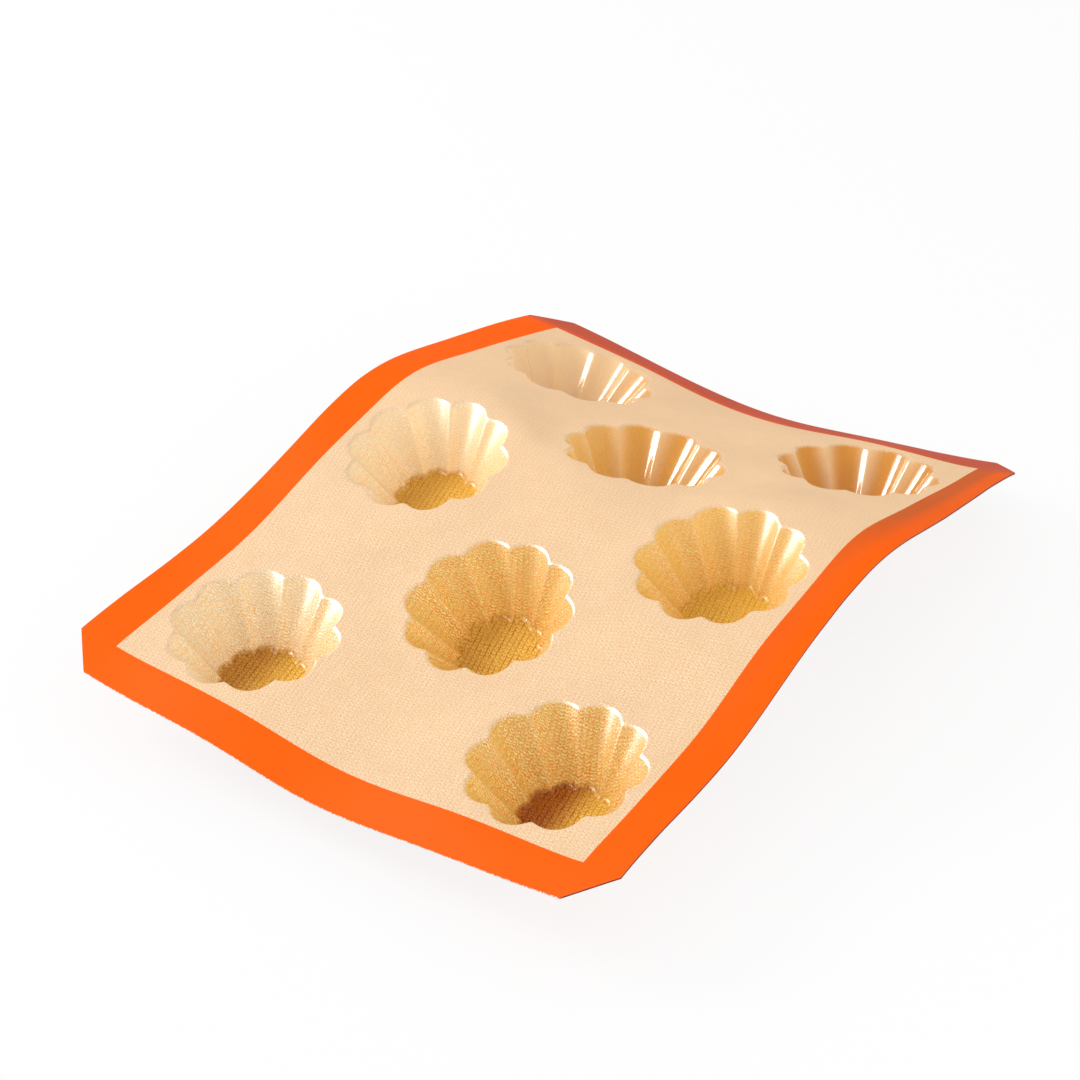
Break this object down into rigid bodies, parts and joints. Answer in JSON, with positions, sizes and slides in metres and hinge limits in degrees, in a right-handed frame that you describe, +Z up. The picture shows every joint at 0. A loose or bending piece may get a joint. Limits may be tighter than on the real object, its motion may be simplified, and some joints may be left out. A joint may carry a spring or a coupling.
{
  "type": "baking mould",
  "caption": "Flexible coated glass-cloth baking mould: a gently bent sheet with staggered fluted brioche cups and a coloured silicone border.",
  "frame": {"origin": "on the table under the middle of the bounding box", "axes": "+X along the sheet from its front end to its far end, +Y towards its left edge, +Z up"},
  "size_m": [0.3916, 0.298, 0.0676],
  "materials": {
    "web_silicone": "satin silicone over woven glass cloth",
    "cup_silicone": "glossy silicone over stretched woven glass cloth",
    "border_silicone": "satin coloured silicone"
  },
  "bodies": {
    "root": {"coated_web": "web_silicone", "border_band": "border_silicone", "cup_front_left": "cup_silicone", "cup_front_right": "cup_silicone", "cup_middle_left": "cup_silicone", "cup_middle_right": "cup_silicone", "cup_far_left": "cup_silicone", "cup_far_right": "cup_silicone", "cup_front_center": "cup_silicone", "cup_far_center": "cup_silicone"}
  },
  "joints": []
}
